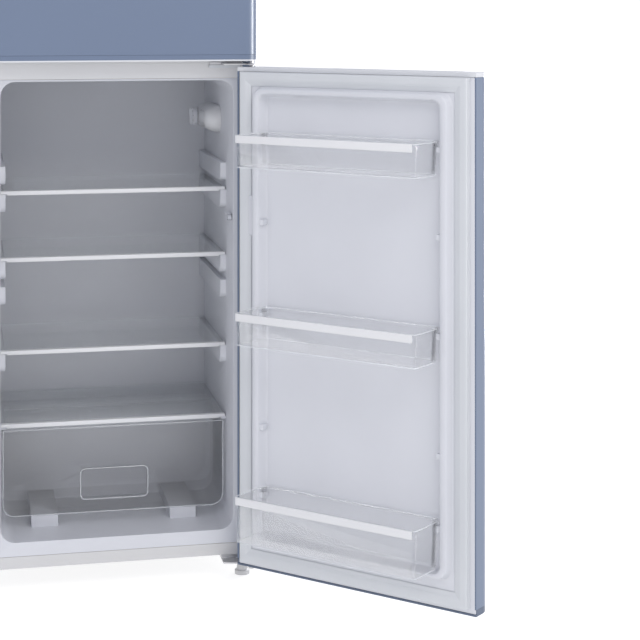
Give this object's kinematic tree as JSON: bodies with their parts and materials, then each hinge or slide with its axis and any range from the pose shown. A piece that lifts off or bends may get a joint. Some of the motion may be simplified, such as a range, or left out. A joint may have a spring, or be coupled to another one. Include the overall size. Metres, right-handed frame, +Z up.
{
  "type": "top freezer refrigerator",
  "caption": "slim top freezer refrigerator with the fridge door standing open on glass shelves, a crisper drawer and clear door bins",
  "frame": {"origin": "on the floor at the middle of the bounding box of the model as it stands, with the fridge door open", "axes": "+Z up, +Y to the back of the cabinet, +X to the right seen from the front, the hinge side"},
  "size_m": [0.904, 0.9804, 1.4513],
  "materials": {
    "blue_paint": "satin",
    "white_plastic": "satin",
    "warm_grey": "satin",
    "cap_grey": "satin",
    "cap_blue": "satin",
    "gasket": "matte",
    "foam": "matte",
    "zinc_steel": "satin",
    "black_steel": "satin",
    "black_plastic": "matte",
    "clear_plastic": "gloss",
    "shelf_glass": "gloss",
    "bulb": "gloss",
    "copper": "satin"
  },
  "bodies": {
    "cabinet": {"back_panel": "warm_grey", "base_plate": "zinc_steel", "bottom_hinge": "zinc_steel", "bottom_rail": "warm_grey", "compressor": "black_steel", "compressor_tray": "zinc_steel", "condenser_frame": "black_steel", "condenser_tube": "black_steel", "crossbar": "warm_grey", "drain_tube": "black_plastic", "drip_tray": "black_plastic", "filter_drier": "copper", "freezer_liner": "white_plastic", "freezer_shelf": "white_plastic", "fridge_liner": "white_plastic", "insulation_foam": "foam", "lamp_bulb": "bulb", "lamp_cover": "clear_plastic", "lamp_housing": "white_plastic", "left_side_panel": "blue_paint", "middle_hinge": "zinc_steel", "middle_hinge_cover": "cap_grey", "right_side_panel": "blue_paint", "switch_socket": "white_plastic", "terminal_box": "black_plastic", "top_hinge": "black_steel", "top_hinge_cover": "blue_paint", "top_panel": "blue_paint"},
    "crisper_cover": {"crisper_cover_glass": "shelf_glass", "crisper_cover_trim": "white_plastic"},
    "crisper": {"crisper_drawer": "clear_plastic"},
    "door_bin_bottom": {"door_bin_bottom": "clear_plastic", "door_bin_bottom_bar": "white_plastic"},
    "door_bin_middle": {"door_bin_middle": "clear_plastic", "door_bin_middle_bar": "white_plastic"},
    "door_bin_top": {"door_bin_top": "clear_plastic", "door_bin_top_bar": "white_plastic"},
    "freezer_door": {"freezer_door_bottom_cap": "blue_paint", "freezer_door_foam": "foam", "freezer_door_gasket": "gasket", "freezer_door_liner": "white_plastic", "freezer_door_skin": "blue_paint", "freezer_door_top_cap": "cap_grey"},
    "freezer_rack": {"freezer_door_rack": "white_plastic"},
    "fridge_door": {"fridge_door_bottom_cap": "cap_blue", "fridge_door_foam": "foam", "fridge_door_gasket": "gasket", "fridge_door_liner": "white_plastic", "fridge_door_skin": "blue_paint", "fridge_door_top_cap": "cap_grey"},
    "left_foot": {"left_front_foot": "warm_grey"},
    "light_switch": {"light_switch": "white_plastic"},
    "right_foot": {"right_front_foot": "warm_grey"},
    "shelf_bottom": {"shelf_bottom_glass": "shelf_glass", "shelf_bottom_trim": "white_plastic"},
    "shelf_middle": {"shelf_middle_glass": "shelf_glass", "shelf_middle_trim": "white_plastic"},
    "shelf_top": {"shelf_top_glass": "shelf_glass", "shelf_top_trim": "white_plastic"},
    "thermostat_knob": {"thermostat_knob": "white_plastic"}
  },
  "joints": [
    {"name": "fridge_door_hinge", "type": "hinge", "parent": "cabinet", "child": "fridge_door", "pos_m": [0.08033, -0.06617, 0.5], "axis": [0, 0, 1], "range_deg": [-133.5, 1.5]},
    {"name": "freezer_door_hinge", "type": "hinge", "parent": "cabinet", "child": "freezer_door", "pos_m": [0.08033, -0.06617, 1.23], "axis": [0, 0, 1], "range_deg": [0, 135]},
    {"name": "crisper_slide", "type": "slide", "parent": "cabinet", "child": "crisper", "axis": [0, -1, 0], "range_m": [0, 0.18]},
    {"name": "shelf_top_slide", "type": "slide", "parent": "cabinet", "child": "shelf_top", "axis": [0, -1, 0], "range_m": [0, 0.2]},
    {"name": "shelf_middle_slide", "type": "slide", "parent": "cabinet", "child": "shelf_middle", "axis": [0, -1, 0], "range_m": [0, 0.2]},
    {"name": "shelf_bottom_slide", "type": "slide", "parent": "cabinet", "child": "shelf_bottom", "axis": [0, -1, 0], "range_m": [0, 0.2]},
    {"name": "crisper_cover_slide", "type": "slide", "parent": "cabinet", "child": "crisper_cover", "axis": [0, -1, 0], "range_m": [0, 0.2]},
    {"name": "door_bin_top_lift", "type": "slide", "parent": "fridge_door", "child": "door_bin_top", "axis": [0, 0, 1], "range_m": [0, 0.03]},
    {"name": "door_bin_middle_lift", "type": "slide", "parent": "fridge_door", "child": "door_bin_middle", "axis": [0, 0, 1], "range_m": [0, 0.03]},
    {"name": "door_bin_bottom_lift", "type": "slide", "parent": "fridge_door", "child": "door_bin_bottom", "axis": [0, 0, 1], "range_m": [0, 0.03]},
    {"name": "freezer_rack_lift", "type": "slide", "parent": "freezer_door", "child": "freezer_rack", "axis": [0, 0, 1], "range_m": [0, 0.03]},
    {"name": "thermostat_turn", "type": "hinge", "parent": "cabinet", "child": "thermostat_knob", "pos_m": [0.01623, 0.27563, 0.912], "axis": [1, 0, 0], "range_deg": [0, 270]},
    {"name": "light_switch_press", "type": "slide", "parent": "cabinet", "child": "light_switch", "axis": [0, 1, 0], "range_m": [0, 0.006], "stiffness_N_per_m": 150, "springref_m": -0.004},
    {"name": "left_foot_turn", "type": "hinge", "parent": "cabinet", "child": "left_foot", "pos_m": [-0.43147, 0.00563, 0.03], "axis": [0, 0, 1], "continuous": true},
    {"name": "right_foot_turn", "type": "hinge", "parent": "cabinet", "child": "right_foot", "pos_m": [0.07253, 0.00563, 0.03], "axis": [0, 0, 1], "continuous": true}
  ]
}
